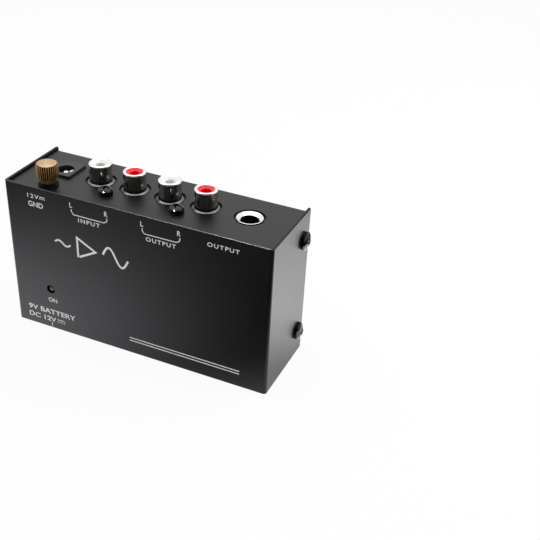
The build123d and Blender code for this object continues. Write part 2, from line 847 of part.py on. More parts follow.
# ---------------------------------------------------------------- slide switch
switch_mid_y = board_face_y - switch_width / 2
switch_face_z = reveal + sheet + fit_slack * 2
switch_back_z = switch_face_z + switch_frame_height
slider_x = switch_x - switch_travel / 2
with BuildPart() as switch_frame:
    with BuildSketch(level(switch_face_z)):
        with Locations((switch_x, switch_mid_y)):
            Rectangle(switch_length, switch_width)
    extrude(amount=switch_frame_height)
    with BuildSketch(level(switch_face_z + switch_frame_wall)):
        with Locations((switch_x, switch_mid_y)):
            Rectangle(switch_length - 2 * switch_frame_wall, switch_width - 2 * switch_frame_wall)
    extrude(amount=switch_frame_height, mode=Mode.SUBTRACT)
    with BuildSketch(level(switch_face_z)):
        with Locations((switch_x, switch_mid_y)):
            Rectangle(slider_length + switch_travel + slot_slack, slider_width + slot_slack)
    extrude(amount=switch_frame_wall, mode=Mode.SUBTRACT)
save(switch_frame, "switch_frame")

with BuildPart() as switch_base:
    with BuildSketch(level(switch_back_z - switch_base_height)):
        with Locations((switch_x, switch_mid_y)):
            Rectangle(
                switch_length - 2 * switch_frame_wall - 2 * fit_slack,
                switch_width - 2 * switch_frame_wall - 2 * fit_slack,
            )
    extrude(amount=switch_base_height)
save(switch_base, "switch_base")

# each pin rises from the base and turns back through the board
switch_pin_z = switch_back_z + switch_pin_rise
switch_pin_front_y = switch_mid_y - switch_pin_thickness / 2
switch_pin_places = [switch_x + step * switch_travel for step in (-1, 0, 1)]
with BuildPart() as switch_terminals:
    with BuildSketch(level(switch_back_z)):
        with Locations(*[(x, switch_mid_y) for x in switch_pin_places]):
            Rectangle(switch_pin_width, switch_pin_thickness)
    extrude(amount=switch_pin_rise)
    with BuildSketch(level(switch_pin_z)):
        with Locations(*[(x, (switch_pin_front_y + pin_end_y) / 2) for x in switch_pin_places]):
            Rectangle(switch_pin_width, pin_end_y - switch_pin_front_y)
    extrude(amount=switch_pin_thickness)
save(switch_terminals, "switch_terminals")

shoe_low_z = switch_face_z + switch_frame_wall + fit_slack
with BuildPart() as switch_slider:
    with BuildSketch(level(reveal - slider_proud)):
        with Locations((slider_x, switch_mid_y)):
            Rectangle(slider_length, slider_width)
    extrude(amount=shoe_low_z - reveal + slider_proud)
    # grooves across the handle for a finger's grip
    with BuildSketch(level(reveal - slider_proud)):
        with Locations((slider_x, switch_mid_y)):
            with GridLocations(slider_length / slider_ribs, slider_width, slider_ribs, 1):
                Rectangle(slider_groove, slider_width)
    extrude(amount=slider_rib_depth, mode=Mode.SUBTRACT)
    with BuildSketch(level(shoe_low_z)):
        with Locations((slider_x, switch_mid_y)):
            Rectangle(slider_shoe_length, switch_width - 2 * switch_frame_wall - 2 * slider_shoe_slack)
    extrude(amount=slider_shoe_height)
save(switch_slider, "switch_slider")

# ---------------------------------------------------------------- battery, box and door
with BuildPart() as battery_box:
    with BuildSketch(facing_front(flange_y)) as box_flange:
        with Locations((box_centre_x, box_centre_z)):
            Rectangle(cavity_length + 2 * flange_margin, cavity_height + 2 * flange_margin)
        fillet(box_flange.vertices(), flange_margin)
    extrude(amount=flange_thickness)
    fillet(battery_box.faces().sort_by(Axis.Y)[-1].edges(), flange_round)
    with BuildSketch(facing_front(back_y)):
        with Locations((box_centre_x, box_centre_z)):
            Rectangle(2 * box_half_length, 2 * box_half_height)
    extrude(amount=back_y - box_front_y)
    # snap hooks behind the back plate, on the upper and lower walls
    hook_y = back_y - sheet - fit_slack
    for x in (box_centre_x - hook_pitch / 2, box_centre_x + hook_pitch / 2):
        with BuildSketch(facing_right(x - hook_length / 2)):
            for side in (-1, 1):
                wall_z = box_centre_z + side * box_half_height
                with BuildLine():
                    Polyline(
                        (hook_y, wall_z - side * pick),
                        (hook_y, wall_z + side * hook_reach),
                        (hook_y - hook_height, wall_z - side * pick),
                        close=True,
                    )
                make_face()
        extrude(amount=hook_length)
    with BuildSketch(facing_front(flange_y)):
        with Locations((box_centre_x, box_centre_z)):
            Rectangle(cavity_length, cavity_height)
    extrude(amount=flange_thickness + cavity_depth, mode=Mode.SUBTRACT)
    # ledge that the door rests on
    with BuildSketch(facing_front(flange_y)):
        with Locations((box_centre_x, box_centre_z)):
            Rectangle(cavity_length + 2 * door_ledge, cavity_height + 2 * door_ledge)
    extrude(amount=flange_thickness, mode=Mode.SUBTRACT)
    # pockets under the flange for the door's two tabs
    with BuildSketch(facing_front(back_y + door_tab_thickness + door_gap)):
        with Locations((cavity_left - (door_ledge + door_tab + door_gap) / 2, box_centre_z)):
            with GridLocations(door_tab, door_tab_pitch, 1, 2):
                Rectangle(door_ledge + door_tab + door_gap, door_tab_width + 2 * door_gap)
    extrude(amount=2 * door_tab_thickness + door_gap, mode=Mode.SUBTRACT)
    # finger scoop at the latch end
    with BuildSketch(facing_front(flange_y)):
        with Locations((door_right, box_centre_z)):
            Circle(flange_margin - door_ledge - door_gap)
    extrude(amount=scoop_depth, mode=Mode.SUBTRACT)
    # holes for the two leads, in the end wall
    with BuildSketch(facing_right(cavity_right - box_wall)):
        with Locations(*[(lead_y, z) for z in lead_levels]):
            Circle(wire_radius + lead_slack)
    extrude(amount=3 * box_wall, mode=Mode.SUBTRACT)
save(battery_box, "battery_box")

with BuildPart() as battery_door:
    door_mid_x = (door_left + door_right) / 2
    with BuildSketch(facing_front(flange_y)):
        with Locations((door_mid_x, box_centre_z)):
            Rectangle(door_right - door_left - 2 * door_gap, 2 * (door_half_height - door_gap))
    extrude(amount=flange_thickness - fit_slack)
    tab_y = back_y + fit_slack + door_tab_thickness
    with BuildSketch(facing_front(tab_y)):
        with Locations((door_left + (door_gap - door_tab) / 2 + door_tab_root, box_centre_z)):
            with GridLocations(door_tab, door_tab_pitch, 1, 2):
                Rectangle(door_tab + door_gap + 2 * door_tab_root, door_tab_width)
    extrude(amount=door_tab_thickness)
    # slits that free the latch tongue
    with BuildSketch(facing_front(flange_y)):
        with Locations((door_right - door_gap - latch_length / 2, box_centre_z)):
            with GridLocations(latch_length, latch_width + latch_slit, 1, 2):
                Rectangle(latch_length, latch_slit)
    extrude(amount=flange_thickness, mode=Mode.SUBTRACT)
    # grip ribs across the tongue
    with BuildSketch(facing_front(flange_y)):
        with Locations((door_right - latch_length / 2, box_centre_z)):
            with GridLocations(grip_pitch, latch_width, grip_ribs, 1):
                Rectangle(grip_pitch / 2, latch_width - 2 * latch_slit)
    extrude(amount=grip_depth, mode=Mode.SUBTRACT)
save(battery_door, "battery_door")

with BuildPart() as battery:
    with BuildSketch(facing_right(battery_left)) as battery_outline:
        with Locations((battery_mid_y, box_centre_z)):
            Rectangle(battery_thickness, battery_height)
        fillet(battery_outline.vertices(), battery_corner)
    extrude(amount=battery_length)
    chamfer(battery.faces().filter_by(Axis.X).edges(), battery_rim)
save(battery, "battery")

stud_place = (battery_mid_y, box_centre_z - terminal_pitch / 2)
ring_place = (battery_mid_y, box_centre_z + terminal_pitch / 2)
with BuildPart() as battery_terminals:
    with BuildSketch(facing_right(terminal_x)):
        with Locations(stud_place):
            Circle(stud_terminal_radius)
        with Locations(ring_place):
            Circle(ring_terminal_radius)
            Circle(stud_terminal_radius + terminal_slack, mode=Mode.SUBTRACT)
    extrude(amount=terminal_height)
save(battery_terminals, "battery_terminals")

with BuildPart() as snap_contact_plate:
    with BuildSketch(facing_right(snap_plate_x)):
        with Locations((battery_mid_y, box_centre_z)):
            Rectangle(battery_thickness - 2 * battery_slack, battery_height - battery_slack)
    extrude(amount=snap_plate)
save(snap_contact_plate, "snap_contact_plate")

with BuildPart() as snap_contacts:
    with BuildSketch(facing_right(snap_plate_x)):
        with Locations(stud_place):
            Circle(ring_terminal_radius)
            Circle(stud_terminal_radius + terminal_slack, mode=Mode.SUBTRACT)
        with Locations(ring_place):
            Circle(stud_terminal_radius)
    extrude(amount=-terminal_height)
save(snap_contacts, "snap_contacts")

lead_start_x = cavity_right - battery_slack
lead_end_x = cavity_right + box_wall + lead_run
for name, lead_z in zip(("battery_lead_black", "battery_lead_red"), lead_levels):
    with BuildPart() as lead:
        with BuildLine():
            FilletPolyline(
                (lead_start_x, lead_y, lead_z),
                (lead_end_x, lead_y, lead_z),
                (lead_end_x, board_face_y, lead_z),
                radius=lead_bend,
            )
        with BuildSketch(facing_right(lead_start_x)):
            with Locations((lead_y, lead_z)):
                Circle(wire_radius)
        sweep()
    save(lead, name)

# ---------------------------------------------------------------- circuit board and what it carries
with BuildPart() as circuit_board:
    with BuildSketch(facing_front(board_back_y)):
        with Locations((0, (board_bottom_z + board_top_z) / 2)):
            Rectangle(2 * board_half_length, board_top_z - board_bottom_z)
        with Locations(((notch_left + notch_right) / 2, notch_top_z / 2)):
            Rectangle(notch_right - notch_left, notch_top_z, mode=Mode.SUBTRACT)
        with Locations(*standoff_places):
            Circle(screw_radius + screw_hole_slack, mode=Mode.SUBTRACT)
        with Locations(*lead_places):
            Circle(led_lead_width / 2 + lead_slack, mode=Mode.SUBTRACT)
        with Locations(*[(x, (tail_z + rca_floor_z) / 2) for x, y in rca_places()]):
            Circle(rca_tail_width / 2 + lead_slack, mode=Mode.SUBTRACT)
        with Locations(*[(x, switch_pin_z + switch_pin_thickness / 2) for x in switch_pin_places]):
            Circle(switch_pin_width / 2 + lead_slack, mode=Mode.SUBTRACT)
    extrude(amount=board_thickness)
save(circuit_board, "circuit_board")

with BuildPart() as board_standoffs:
    with BuildSketch(facing_front(back_y - sheet)):
        with Locations(*standoff_places):
            RegularPolygon(standoff_radius, 6, major_radius=False)
    extrude(amount=standoff_height)
    with BuildSketch(facing_front(back_y)):
        with Locations(*standoff_places):
            Circle(screw_radius)
    extrude(amount=sheet)
    with BuildSketch(facing_front(board_back_y)):
        with Locations(*standoff_places):
            Circle(screw_radius + thread_slack)
    extrude(amount=-standoff_bore_depth, mode=Mode.SUBTRACT)
save(board_standoffs, "board_standoffs")

board_screw = pan_head_screw(screw_head_radius, screw_head_height, board_thickness + board_screw_bite)
with BuildPart() as board_screws:
    with Locations(*[Plane(origin=(x, board_face_y, z), z_dir=(0, -1, 0)) for x, z in standoff_places]):
        add(board_screw)
save(board_screws, "board_screws")

# small parts: a row above the battery box, and a column on each side of it
row_z = (notch_top_z + tail_z) / 2
left_column_x = (notch_left - board_half_length) / 2
low_part_z = switch_pin_z + switch_pin_thickness + part_gap + capacitor_radius
left_pair_z = standoff_high_z + screw_head_radius + part_gap + capacitor_radius

chip_x = board_half_length - chip_edge_gap - chip_row_pitch / 2
chip_z = standoff_low_z + screw_head_radius + part_gap + chip_length / 2
chip_face_y = board_face_y - chip_lift
with BuildPart() as op_amp:
    with BuildSketch(facing_front(chip_face_y)):
        with Locations((chip_x, chip_z)):
            Rectangle(chip_width, chip_length)
    extrude(amount=chip_height)
    chamfer(op_amp.faces().sort_by(Axis.Y)[0].edges(), chip_edge)
    with BuildSketch(facing_front(board_face_y)):
        with Locations((chip_x, chip_z)):
            with GridLocations(chip_row_pitch, chip_pin_pitch, 2, 4):
                Rectangle(chip_pin_thickness, chip_pin_width)
    extrude(amount=chip_shoulder_height)
    with BuildSketch(facing_front(board_face_y - chip_shoulder_height + chip_pin_thickness)):
        with Locations((chip_x, chip_z)):
            with GridLocations(chip_row_pitch - chip_shoulder_length / 2, chip_pin_pitch, 2, 4):
                Rectangle(chip_shoulder_length, chip_shoulder_width)
    extrude(amount=chip_pin_thickness)
save(op_amp, "op_amp")

capacitor_places = [
    (box_centre_x + side * capacitor_group + step * capacitor_pitch, row_z)
    for side in (-1, 1)
    for step in (-1, 0, 1)
]
capacitor_places += [(left_column_x + side * capacitor_pitch / 2, left_pair_z) for side in (-1, 1)]
capacitor_places += [(notch_left - capacitor_radius - part_gap, low_part_z)]
with BuildPart() as electrolytic_capacitors:
    with BuildSketch(facing_front(board_face_y)):
        with Locations(*capacitor_places):
            Circle(capacitor_radius)
    extrude(amount=capacitor_height)
    fillet(electrolytic_capacitors.faces().group_by(Axis.Y)[0].edges(), capacitor_edge)
save(electrolytic_capacitors, "electrolytic_capacitors")

with BuildPart() as film_capacitors:
    with BuildSketch(facing_front(board_face_y)):
        with Locations(
            (box_centre_x, row_z), (left_column_x, dc_floor_z - dc_tail - part_gap - film_width / 2)
        ):
            Rectangle(film_length, film_width)
        with Locations((notch_right + part_gap + film_width / 2, lead_mid_z)):
            Rectangle(film_width, film_length)
    extrude(amount=film_height)
save(film_capacitors, "film_capacitors")

# two resistors lie in the row, and two stand one above the other in the left column
first_capacitor = capacitor_group - capacitor_pitch - capacitor_radius
resistor_offset = (film_length / 2 + first_capacitor) / 2
resistor_y = board_face_y - resistor_lift - resistor_radius
resistor_column_x = notch_left - part_gap - resistor_radius
resistor_low_z = low_part_z + capacitor_radius + part_gap
with BuildPart() as resistors:
    for side in (-1, 1):
        with BuildSketch(facing_right(box_centre_x + side * resistor_offset - resistor_length / 2)):
            with Locations((resistor_y, row_z)):
                Circle(resistor_radius)
        extrude(amount=resistor_length)
    for z in (resistor_low_z, resistor_low_z + resistor_length + part_gap):
        with BuildSketch(level(z)):
            with Locations((resistor_column_x, resistor_y)):
                Circle(resistor_radius)
        extrude(amount=resistor_length)
save(resistors, "resistors")

regulator_place = (
    notch_right + part_gap + regulator_width / 2,
    board_bottom_z + part_gap + regulator_depth / 2,
)
with BuildPart() as voltage_regulator:
    with BuildSketch(facing_front(board_face_y)):
        with Locations(regulator_place):
            Rectangle(regulator_width, regulator_depth)
    extrude(amount=regulator_height)
save(voltage_regulator, "voltage_regulator")
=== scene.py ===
import json
import math

import bmesh
import bpy
from mathutils import Matrix, Vector


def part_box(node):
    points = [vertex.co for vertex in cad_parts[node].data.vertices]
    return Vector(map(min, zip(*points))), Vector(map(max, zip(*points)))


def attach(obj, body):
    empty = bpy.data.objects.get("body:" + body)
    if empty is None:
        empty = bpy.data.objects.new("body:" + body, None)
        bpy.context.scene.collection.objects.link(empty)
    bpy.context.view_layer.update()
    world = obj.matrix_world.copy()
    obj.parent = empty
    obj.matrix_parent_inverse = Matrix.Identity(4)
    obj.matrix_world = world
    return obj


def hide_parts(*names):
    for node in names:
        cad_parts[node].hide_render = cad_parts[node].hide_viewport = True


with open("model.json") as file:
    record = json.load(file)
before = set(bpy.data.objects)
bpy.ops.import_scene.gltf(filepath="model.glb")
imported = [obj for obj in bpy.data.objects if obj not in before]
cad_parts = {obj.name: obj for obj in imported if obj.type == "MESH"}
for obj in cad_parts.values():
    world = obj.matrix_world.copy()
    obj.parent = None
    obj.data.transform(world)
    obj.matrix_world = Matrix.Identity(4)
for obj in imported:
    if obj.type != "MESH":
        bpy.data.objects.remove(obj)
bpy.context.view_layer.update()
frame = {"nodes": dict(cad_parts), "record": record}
nodes = frame["nodes"]
record = frame["record"]

MM = 0.001  # the scene is in metres; sizes below are in millimetres until multiplied by this
WHITE = (1, 1, 1, 1)
JACKS = ("input_left", "input_right", "output_left", "output_right")


# ---------------------------------------------------------------- places from the frame
def centre(node):
    """The middle of a CAD node's box."""
    low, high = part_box(node)
    return (low + high) / 2


def top(node):
    """The height of a CAD node's top, in metres."""
    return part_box(node)[1].z


def foot(node):
    """How far a CAD node's foot lies from its top, in millimetres, below zero."""
    return (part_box(node)[0].z - top(node)) / MM


def slot_of(node):
    """The material slot that the record gives a CAD node."""
    return next(entry["material_slot"] for entry in record["subparts"] if entry["node"] == node)


def placed(name, data):
    """A new object in the scene."""
    thing = bpy.data.objects.new(name, data)
    bpy.context.scene.collection.objects.link(thing)
    return thing


# ---------------------------------------------------------------- node trees
class Tree:
    """The node tree of a material or world, emptied, with short ways to add nodes."""

    def __init__(self, owner):
        owner.use_nodes = True
        self.nodes = owner.node_tree.nodes
        self.links = owner.node_tree.links
        self.nodes.clear()

    def fill(self, node, inputs):
        """Sets a node's inputs, by name or number, to values, or links them to sockets."""
        for key, value in inputs.items():
            if isinstance(value, bpy.types.NodeSocket):
                self.links.new(value, node.inputs[key])
            else:
                node.inputs[key].default_value = value

    def add(self, kind, inputs=None, **settings):
        """A new shader node of that kind."""
        node = self.nodes.new("ShaderNode" + kind)
        for name, value in settings.items():
            setattr(node, name, value)
        self.fill(node, inputs or {})
        return node

    def place(self):
        """The point on the surface, in its object's own metres."""
        return self.add("TexCoord").outputs["Object"]

    def split(self, vector):
        """The X, Y and Z of a vector, by name."""
        return self.add("SeparateXYZ", {"Vector": vector}).outputs

    def facing_up(self):
        """The Z of the surface's normal."""
        return self.split(self.add("NewGeometry").outputs["Normal"])["Z"]

    def calc(self, operation, *operands):
        """A math node over sockets and numbers."""
        return self.add("Math", dict(enumerate(operands)), operation=operation).outputs["Value"]

    def vector(self, operation, output, *operands):
        """One output of a vector math node over sockets and vectors."""
        node = self.add("VectorMath", dict(enumerate(operands)), operation=operation)
        return node.outputs[output]

    def ranged(self, source, start, end, first, last, curve="LINEAR"):
        """Goes from first to last as the source goes from start to end, and no further."""
        limits = {"From Min": start, "From Max": end, "To Min": first, "To Max": last}
        node = self.add("MapRange", {"Value": source, **limits}, interpolation_type=curve)
        return node.outputs["Result"]

    def slope(self, source, start, end, first, last):
        """A smooth step from first to last between two places given in millimetres."""
        return self.ranged(source, start * MM, end * MM, first, last, "SMOOTHSTEP")

    def mix(self, factor, first, second, data_type="RGBA"):
        """First where the factor is 0, second where it is 1."""
        inputs = {"Factor": factor, "A": first, "B": second}
        return self.add("Mix", inputs, data_type=data_type).outputs["Result"]

    def noise(self, scale, detail=3.0, stretch=None):
        """A noise texture from 0 to 1; scale is in features per metre."""
        where = self.place()
        if stretch:
            where = self.add("Mapping", {"Vector": where, "Scale": stretch}).outputs["Vector"]
        inputs = {"Vector": where, "Scale": scale, "Detail": detail}
        return self.add("TexNoise", inputs).outputs["Fac"]

    def spread(self, texture, low, high):
        """Maps the middle half of a noise texture onto low..high."""
        return self.ranged(texture, 0.25, 0.75, low, high)

    def two_tone(self, source, dark, light):
        """A colour between two, by a 0 to 1 value."""
        ramp = self.add("ValToRGB", {"Fac": source})
        ends = ramp.color_ramp.elements
        for end, position, color in zip(ends, (0.3, 0.7), (dark, light)):
            end.position = position
            end.color = (*color, 1)
        return ramp.outputs["Color"]

    def bump(self, source, height):
        """The normal of a surface that rises by height metres with the source."""
        inputs = {"Strength": 1.0, "Distance": height, "Height": source}
        return self.add("Bump", inputs).outputs["Normal"]


def shade(color, amount):
    """A colour made darker or lighter."""
    return tuple(min(1.0, c * amount) for c in color)


def principled(name):
    """A material with its Principled shader alone: (material, tree, shader)."""
    material = bpy.data.materials.new(name)
    tree = Tree(material)
    shader = tree.add("BsdfPrincipled")
    tree.add("OutputMaterial", {"Surface": shader.outputs["BSDF"]})
    return material, tree, shader


# ---------------------------------------------------------------- materials
GRAINS_PER_PATCH = 60


def coated(name, color, roughness, grain, height, specular=0.5, vary=0.25):
    """Plastic, rubber, laminate, oxide or ink: a fine grain in its height, gloss and colour."""
    material, tree, shader = principled(name)
    fine = tree.noise(grain)
    broad = tree.noise(grain / GRAINS_PER_PATCH)
    tree.fill(shader, {
        "Base Color": tree.two_tone(broad, shade(color, 1 - vary), shade(color, 1 + vary)),
        "Roughness": tree.spread(fine, roughness * 0.9, roughness * 1.12),
        "Specular IOR Level": specular,
        "Normal": tree.bump(fine, height),
    })
    return material


def powder_coat(name, color, edge_z, edge_x):
    """Satin powder coat: a fine grain over orange peel.

    Above edge_z and outside edge_x lie the side plates' cut top edges, which are matt."""
    material, tree, shader = principled(name)
    fine = tree.noise(5200)
    peel = tree.noise(1500, detail=2.0)
    broad = tree.noise(90)
    place = tree.split(tree.place())
    high = tree.calc("GREATER_THAN", place["Z"], edge_z)
    outside = tree.calc("GREATER_THAN", tree.calc("ABSOLUTE", place["X"]), edge_x)
    edge = tree.calc("MULTIPLY", high, outside)
    satin, matt = tree.spread(peel, 0.32, 0.41), 0.85
    surface = tree.calc("MULTIPLY_ADD", peel, 0.6, fine)
    tree.fill(shader, {
        "Base Color": tree.two_tone(broad, shade(color, 0.8), shade(color, 1.2)),
        "Roughness": tree.mix(edge, satin, matt, "FLOAT"),
        "Specular IOR Level": 0.37,
        "Specular Tint": (0.94, 0.935, 1.0, 1),
        "Normal": tree.bump(surface, 0.006 * MM),
    })
    return material


def plated(name, color, roughness, grain, height):
    """Plated metal with fine scratches."""
    material, tree, shader = principled(name)
    scratch = tree.noise(grain, detail=5.0)
    tree.fill(shader, {
        "Base Color": tree.two_tone(scratch, shade(color, 0.88), shade(color, 1.06)),
        "Roughness": tree.spread(scratch, roughness * 0.7, roughness * 1.4),
        "Metallic": 1.0,
        "Normal": tree.bump(scratch, height),
    })
    return material


def glossy_plastic(name, color, roughness, see_through=0.0):
    """Shiny moulded plastic or resin with slight flow marks."""
    material, tree, shader = principled(name)
    flow = tree.noise(900)
    tree.fill(shader, {
        "Base Color": tree.two_tone(flow, shade(color, 0.94), shade(color, 1.04)),
        "Roughness": tree.spread(flow, roughness * 0.8, roughness * 1.3),
        "Transmission Weight": see_through,
        "Normal": tree.bump(flow, 0.001 * MM),
    })
    return material


def knurled_brass(name, middle, crest, step_z, lower_crest, groove):
    """Brass with fine turning rings on its flat end, which has a paler painted reflection, and
    knurls with painted shade in their grooves.

    The crests' radius is crest above step_z and lower_crest below it; groove is the full depth."""
    material, tree, shader = principled(name)
    inputs = {"Vector": tree.place(), "Location": (-middle.x, -middle.y, 0)}
    from_axis = tree.add("Mapping", inputs).outputs["Vector"]
    flat = tree.vector("MULTIPLY", "Vector", from_axis, (1, 1, 0))
    radius = tree.vector("LENGTH", "Value", flat)

    # Painted shade: the sides darken from each crest to the bottom of its groove, by the distance
    # from the axis.
    on_knob = tree.calc("GREATER_THAN", tree.split(from_axis)["Z"], step_z)
    limit = tree.ranged(on_knob, 0.0, 1.0, lower_crest, crest)
    depth = tree.calc("SUBTRACT", limit, radius)
    unshaded = tree.ranged(depth, groove * 0.7, groove * 0.1, 0.0, 1.0)
    side_color = tree.two_tone(unshaded, (0.040, 0.015, 0.004), (0.97, 0.57, 0.245))

    inputs = {"Vector": flat, "Scale": 1300, "Distortion": 3.0, "Detail": 3}
    rings = tree.add("TexWave", inputs, wave_type="RINGS", rings_direction="SPHERICAL")
    ring = rings.outputs["Fac"]
    ring_share, speckle_share = 0.45, 0.55
    speckle = tree.calc("MULTIPLY", tree.noise(1900), speckle_share)
    marks = tree.calc("ADD", tree.calc("MULTIPLY", ring, ring_share), speckle)
    # The flat end gets its own paler, less saturated colour, a painted reflection of the bright
    # light above, with real turning rings and speckle in it.
    top_color = tree.two_tone(marks, (0.29, 0.184, 0.093), (0.77, 0.545, 0.33))

    on_top = tree.calc("GREATER_THAN", tree.facing_up(), 0.9)
    tree.fill(shader, {
        "Base Color": tree.mix(on_top, side_color, top_color),
        "Roughness": tree.spread(tree.noise(5200), 0.26, 0.42),
        "Metallic": 0.88,
        "Normal": tree.bump(ring, 0.03 * MM),
    })
    return material


FLANGE_BAND = 0.35  # the flange's painted shade reaches this far above its face


def plating(name, rim, barrel, flange, flange_round, flange_top):
    """Plated brass with fine streaks, painted by the way each face turns: a painted highlight on
    its rounded rims, painted shade on its upright sides, and painted shade on the flat flange and
    its rounds.
    """
    material, tree, shader = principled(name)
    up = tree.facing_up()
    streak = tree.noise(1500, detail=4.0, stretch=(1, 1, 0.06))
    side_color = tree.two_tone(streak, shade(barrel, 0.8), shade(barrel, 1.25))
    # Painted highlight: faces turned up or down take the bright rim colour, and upright sides keep
    # the darker streaked colour as painted shade.
    rounded = tree.ranged(tree.calc("ABSOLUTE", up), 0.10, 0.45, 0.0, 1.0)
    body_color = tree.mix(rounded, side_color, (*rim, 1))

    # Painted shade at the foot: a dark flat flange and dimmed rounds, up to FLANGE_BAND above the
    # flange's face.
    flat = tree.calc("GREATER_THAN", up, 0.93)
    flat_color = tree.two_tone(tree.noise(3000), shade(flange, 0.7), shade(flange, 1.3))
    foot_color = tree.mix(flat, (*flange_round, 1), flat_color)
    height = tree.split(tree.place())["Z"]
    low = tree.calc("LESS_THAN", height, flange_top + FLANGE_BAND * MM)

    side_gloss, rim_gloss = tree.spread(streak, 0.15, 0.24), 0.12
    tree.fill(shader, {
        "Base Color": tree.mix(low, body_color, foot_color),
        "Roughness": tree.mix(rounded, side_gloss, rim_gloss, "FLOAT"),
        "Metallic": 1.0,
        "Normal": tree.bump(streak, 0.0001 * MM),
    })
    return material


SHEET = 1.0  # the case's sheet steel
EDGE_BAND = 0.35  # the matt cut edge starts this far below the side plates' top
FLANGE_DROP = 7.15  # the RCA flange's face below the shell's rim
KNOB_RADIUS = 3.9
KNOB_HEIGHT = 5.5
COLLAR_CREST = 3.1  # the collar's crest radius, from which its painted groove shade is measured
KNURL_DEPTH = 0.42

materials = {
    "black_painted_steel": powder_coat(
        "powder_coat",
        color=(0.0030, 0.0034, 0.0042),
        edge_z=top("front_cover") - EDGE_BAND * MM,
        edge_x=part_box("front_cover")[1].x - SHEET * MM,
    ),
    "black_screw": coated(
        "black_oxide",
        color=(0.003, 0.003, 0.0035),
        roughness=0.10,
        grain=3000,
        height=0.001 * MM,
        specular=0.35,
    ),
    "plated_steel": plated(
        "zinc_plate", color=(0.70, 0.70, 0.68), roughness=0.28, grain=2600, height=0.004 * MM
    ),
    "black_rubber": coated(
        "rubber",
        color=(0.018, 0.018, 0.018),
        roughness=0.75,
        grain=3200,
        height=0.03 * MM,
        specular=0.35,
    ),
    "black_plastic": coated(
        "moulded_black",
        color=(0.014, 0.014, 0.015),
        roughness=0.45,
        grain=2600,
        height=0.02 * MM,
    ),
    # Painted highlight on the rims; painted shade on the barrel, the flange and the flange's
    # rounds.
    "plated_shell": plating(
        "nickel_plate",
        rim=(0.88, 0.87, 0.85),
        barrel=(0.56, 0.535, 0.49),
        flange=(0.07, 0.068, 0.066),
        flange_round=(0.42, 0.415, 0.41),
        flange_top=top("input_left_shell") - FLANGE_DROP * MM,
    ),
    "white_plastic": glossy_plastic("insert_white", (0.88, 0.88, 0.875), roughness=0.2),
    "red_plastic": glossy_plastic("insert_red", (0.90, 0.014, 0.019), roughness=0.16),
    "brass": knurled_brass(
        "brass",
        middle=centre("ground_thumbscrew"),
        crest=KNOB_RADIUS * MM,
        step_z=top("ground_thumbscrew") - KNOB_HEIGHT * MM,
        lower_crest=COLLAR_CREST * MM,
        groove=KNURL_DEPTH * MM,
    ),
    "black_washer": coated(
        "fibre_washer",
        color=(0.006, 0.006, 0.006),
        roughness=0.7,
        grain=3000,
        height=0.02 * MM,
        specular=0.15,
    ),
    "black_wire": glossy_plastic("wire_black", (0.015, 0.015, 0.015), roughness=0.3),
    "red_wire": glossy_plastic("wire_red", (0.45, 0.02, 0.02), roughness=0.3),
    "green_lens": glossy_plastic(
        "lens_green", (0.02, 0.16, 0.06), roughness=0.05, see_through=0.45
    ),
    "brown_laminate": coated(
        "laminate", color=(0.24, 0.13, 0.05), roughness=0.5, grain=1800, height=0.01 * MM
    ),
    "battery_jacket": coated(
        "battery_jacket", color=(0.12, 0.12, 0.13), roughness=0.3, grain=1500, height=0.004 * MM
    ),
    "green_board": coated(
        "solder_resist", color=(0.02, 0.14, 0.05), roughness=0.35, grain=1200, height=0.006 * MM
    ),
    "chip_black": coated(
        "epoxy", color=(0.02, 0.02, 0.02), roughness=0.5, grain=3200, height=0.01 * MM
    ),
    "capacitor_sleeve": glossy_plastic("sleeve", (0.02, 0.02, 0.08), roughness=0.2),
    "capacitor_film": glossy_plastic("film_resin", (0.35, 0.05, 0.03), roughness=0.25),
    "resistor_body": glossy_plastic("resistor_lacquer", (0.18, 0.36, 0.48), roughness=0.2),
}
for entry in record["subparts"]:
    mesh = nodes[entry["node"]].data
    mesh.materials.clear()
    mesh.materials.append(materials[entry["material_slot"]])


# ---------------------------------------------------------------- pieces made of rings
SHARP_ANGLE = math.radians(30)


def ring_round(builder, middle, z, radii):
    """Vertices at equal angles round a vertical line, each at its own radius, in metres."""
    ring = []
    for i, radius in enumerate(radii):
        angle = 2 * math.pi * i / len(radii)
        place = (middle.x + radius * math.cos(angle), middle.y + radius * math.sin(angle), z)
        ring.append(builder.verts.new(place))
    return ring


def skin(builder, rings):
    """Faces between each closed ring of vertices and the next."""
    for ring, after in zip(rings, rings[1:]):
        for i, vertex in enumerate(ring):
            j = (i + 1) % len(ring)
            builder.faces.new((vertex, ring[j], after[j], after[i]))


def capped_skin(builder, rings):
    """Faces between the rings, and over the first and the last."""
    skin(builder, rings)
    builder.faces.new(rings[0])
    builder.faces.new(rings[-1][::-1])


def finished(name, builder, node, body):
    """The smooth-shaded piece of a mesh under construction; it stands for a CAD node."""
    slot = slot_of(node)
    bmesh.ops.recalc_face_normals(builder, faces=builder.faces)
    mesh = bpy.data.meshes.new(name)
    builder.to_mesh(mesh)
    builder.free()
    mesh.shade_smooth()
    mesh.set_sharp_from_angle(angle=SHARP_ANGLE)
    mesh.materials.append(materials[slot])
    piece = placed(name, mesh)
    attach(piece, body)
    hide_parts(node)
    return piece


# ---------------------------------------------------------------- turned and moulded jack parts
TURNED_SIDES = 96
LONG_RUN = 0.4  # a straight run longer than this gets points near its ends
HOLD = 0.04


def arc(middle_radius, middle_height, radius, start, end, steps):
    """A round stretch of a profile, in degrees from outwards to upwards."""
    angles = [math.radians(start + (end - start) * i / steps) for i in range(steps + 1)]
    return [
        (middle_radius + radius * math.cos(a), middle_height + radius * math.sin(a))
        for a in angles
    ]


